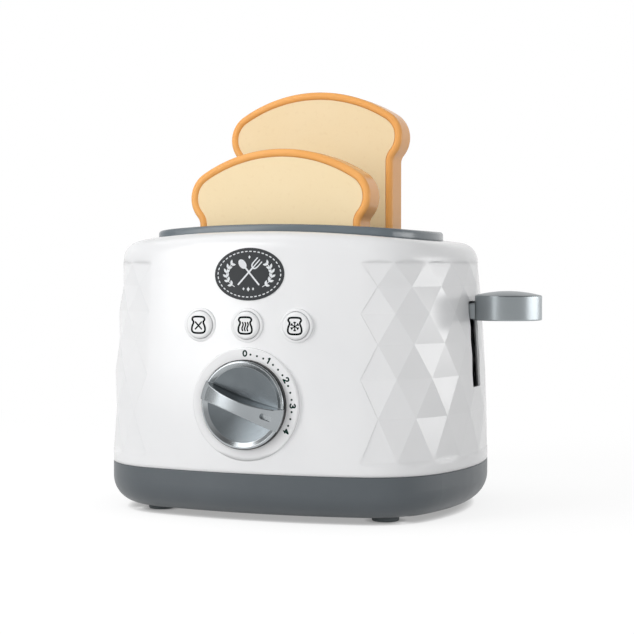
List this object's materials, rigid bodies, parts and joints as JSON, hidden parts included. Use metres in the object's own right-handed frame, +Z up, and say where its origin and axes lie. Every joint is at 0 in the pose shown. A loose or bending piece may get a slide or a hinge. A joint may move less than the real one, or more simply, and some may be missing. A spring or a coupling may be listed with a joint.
{
  "type": "toy toaster",
  "caption": "Play pop-up toaster with lift-out toy bread, a spring-back side lever, a numbered dial and push buttons in a faceted housing on a grey base.",
  "frame": {"origin": "middle of the plane that its feet stand on, below the crossing of the housing's two symmetry planes", "axes": "+X along the housing towards the lever, -Y towards the controls, +Z up"},
  "size_m": [0.2328, 0.1744, 0.2267],
  "materials": {
    "housing_white": "glossy moulded white plastic",
    "base_grey": "satin slate-grey plastic",
    "bezel_grey": "semi-gloss slate-grey plastic",
    "silver_plastic": "silver-sprayed plastic",
    "badge_grey": "satin charcoal plate, white border",
    "crust": "satin toasted-orange plastic",
    "crumb": "satin cream plastic",
    "inner_plastic": "black moulded plastic",
    "steel": "plain steel",
    "foot_rubber": "dark grey rubber"
  },
  "bodies": {
    "housing": {"body_shell": "housing_white", "top_bezel": "bezel_grey", "base_tray": "base_grey", "rubber_feet": "foot_rubber", "base_screws": "steel", "front_bread_well": "inner_plastic", "rear_bread_well": "inner_plastic", "guide_rods": "steel", "return_springs": "steel", "latch_pin": "steel", "dial_plate": "housing_white", "click_spring": "steel", "timer_case": "inner_plastic", "timer_cover": "inner_plastic", "button_bracket": "inner_plastic", "inner_screws": "steel", "badge_plate": "badge_grey", "cancel_spring": "steel", "reheat_spring": "steel", "defrost_spring": "steel"},
    "lever_carriage": {"carriage": "inner_plastic", "lever_arm": "silver_plastic", "lever_paddle": "silver_plastic", "lever_screw": "steel"},
    "front_slice": {"front_slice_crust": "crust", "front_slice_crumb": "crumb"},
    "rear_slice": {"rear_slice_crust": "crust", "rear_slice_crumb": "crumb"},
    "dial": {"dial_knob": "silver_plastic", "knob_skirt": "inner_plastic", "dial_spindle": "inner_plastic", "click_wheel": "inner_plastic"},
    "cancel_key": {"cancel_button": "housing_white"},
    "reheat_key": {"reheat_button": "housing_white"},
    "defrost_key": {"defrost_button": "housing_white"},
    "latch": {"latch_pawl": "inner_plastic"}
  },
  "joints": [
    {"name": "lever_slide", "type": "slide", "parent": "housing", "child": "lever_carriage", "axis": [0, 0, 1], "range_m": [-0.0345, 0], "stiffness_N_per_m": 80, "springref_m": 0.04, "deforming": ["return_springs"]},
    {"name": "front_slice_lift", "type": "slide", "parent": "lever_carriage", "child": "front_slice", "axis": [0, 0, 1], "range_m": [0, 0.048]},
    {"name": "rear_slice_lift", "type": "slide", "parent": "lever_carriage", "child": "rear_slice", "axis": [0, 0, 1], "range_m": [-0.0353, 0.0127]},
    {"name": "dial_turn", "type": "hinge", "parent": "housing", "child": "dial", "pos_m": [0, -0.08, 0.06], "axis": [0, 1, 0], "range_deg": [-109.5, 10.5]},
    {"name": "cancel_press", "type": "slide", "parent": "housing", "child": "cancel_key", "axis": [0, 1, 0], "range_m": [0, 0.0025], "stiffness_N_per_m": 300, "springref_m": -0.001, "deforming": ["cancel_spring"]},
    {"name": "reheat_press", "type": "slide", "parent": "housing", "child": "reheat_key", "axis": [0, 1, 0], "range_m": [0, 0.0025], "stiffness_N_per_m": 300, "springref_m": -0.001, "deforming": ["reheat_spring"]},
    {"name": "defrost_press", "type": "slide", "parent": "housing", "child": "defrost_key", "axis": [0, 1, 0], "range_m": [0, 0.0025], "stiffness_N_per_m": 300, "springref_m": -0.001, "deforming": ["defrost_spring"]},
    {"name": "latch_swing", "type": "hinge", "parent": "housing", "child": "latch", "pos_m": [0.074, 0, 0.02], "axis": [0, 1, 0], "range_deg": [-2.5, 0], "stiffness_Nm_per_rad": 0.02}
  ]
}
